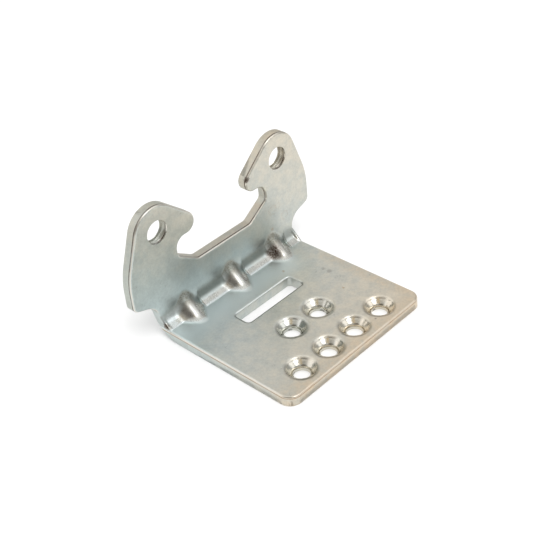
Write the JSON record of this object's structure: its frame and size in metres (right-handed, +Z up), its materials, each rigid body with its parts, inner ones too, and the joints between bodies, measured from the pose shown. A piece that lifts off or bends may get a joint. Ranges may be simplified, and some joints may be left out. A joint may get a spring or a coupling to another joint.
{
  "type": "refrigerator hinge bracket",
  "caption": "Zinc-plated stamped hinge bracket for a refrigerator door: base plate with countersunk holes and a slot, bent up into hooked ears with tapped holes, gussets in the bend.",
  "frame": {"origin": "middle of the footprint, on the underside of the base plate", "axes": "+X along the bend, from the left ear to the right ear; +Y from the screw holes towards the upright; +Z up, out of the base plate's top face"},
  "size_m": [0.0684, 0.05, 0.0392],
  "materials": {
    "zinc_plated_steel": "bright zinc plating over a stamped steel sheet, satin, faintly mottled"
  },
  "bodies": {
    "root": {"hinge_bracket": "zinc_plated_steel"}
  },
  "joints": []
}
